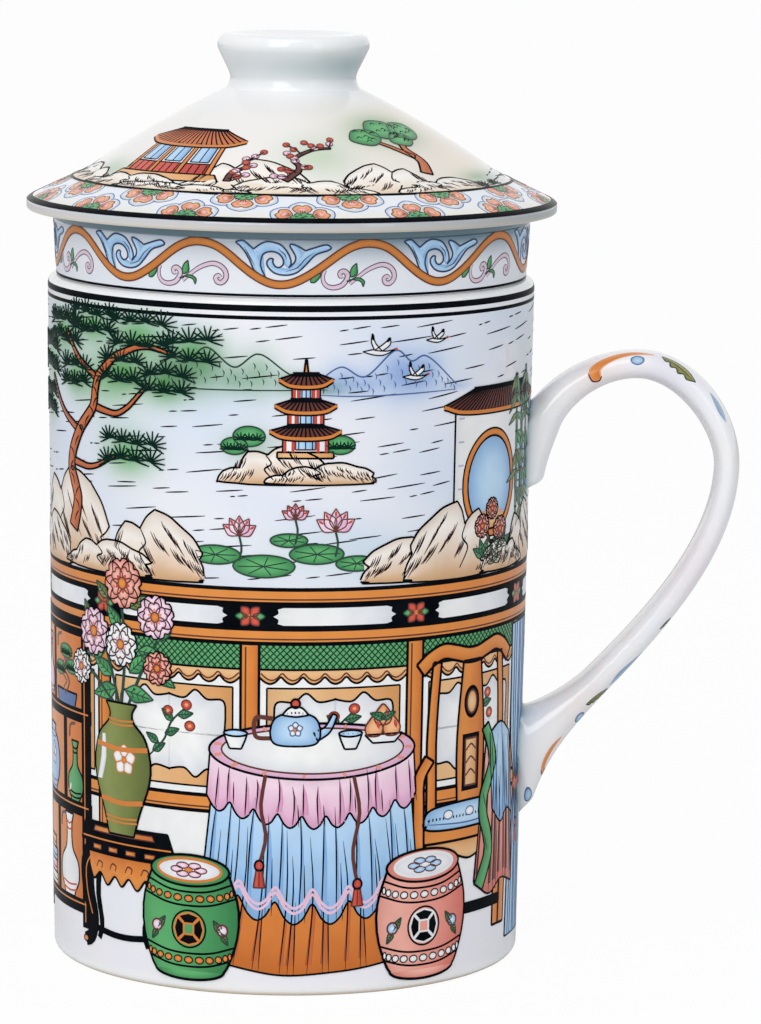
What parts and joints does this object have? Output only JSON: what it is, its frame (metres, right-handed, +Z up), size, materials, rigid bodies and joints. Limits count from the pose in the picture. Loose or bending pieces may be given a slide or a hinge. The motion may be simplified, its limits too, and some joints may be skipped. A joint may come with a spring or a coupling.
{
  "type": "lidded tea mug with infuser",
  "caption": "Tall porcelain mug with an ear-shaped handle, a drop-in strainer basket whose collar stands on the rim, and a conical lift-off lid with a flared knob.",
  "frame": {"origin": "centre of the foot ring, on the surface that the mug stands on", "axes": "+Z up along the mug's axis, +X from the axis towards the handle, +Y away from the side seen with the handle on the right"},
  "size_m": [0.1177, 0.087, 0.152],
  "materials": {
    "glazed_porcelain": "clear glossy glaze over white porcelain, with a cool bluish cast",
    "overglaze_enamel": "fired overglaze enamel lines and colours, glossy"
  },
  "bodies": {
    "mug": {"mug_body": "glazed_porcelain", "handle": "glazed_porcelain"},
    "infuser_basket": {"infuser": "glazed_porcelain"},
    "lid_assembly": {"lid": "glazed_porcelain", "lid_knob": "glazed_porcelain"}
  },
  "joints": [
    {"name": "infuser_lift", "type": "slide", "parent": "mug", "child": "infuser_basket", "axis": [0, 0, 1], "range_m": [0, 0.08]},
    {"name": "lid_lift", "type": "slide", "parent": "infuser_basket", "child": "lid_assembly", "axis": [0, 0, 1], "range_m": [0, 0.04]}
  ]
}
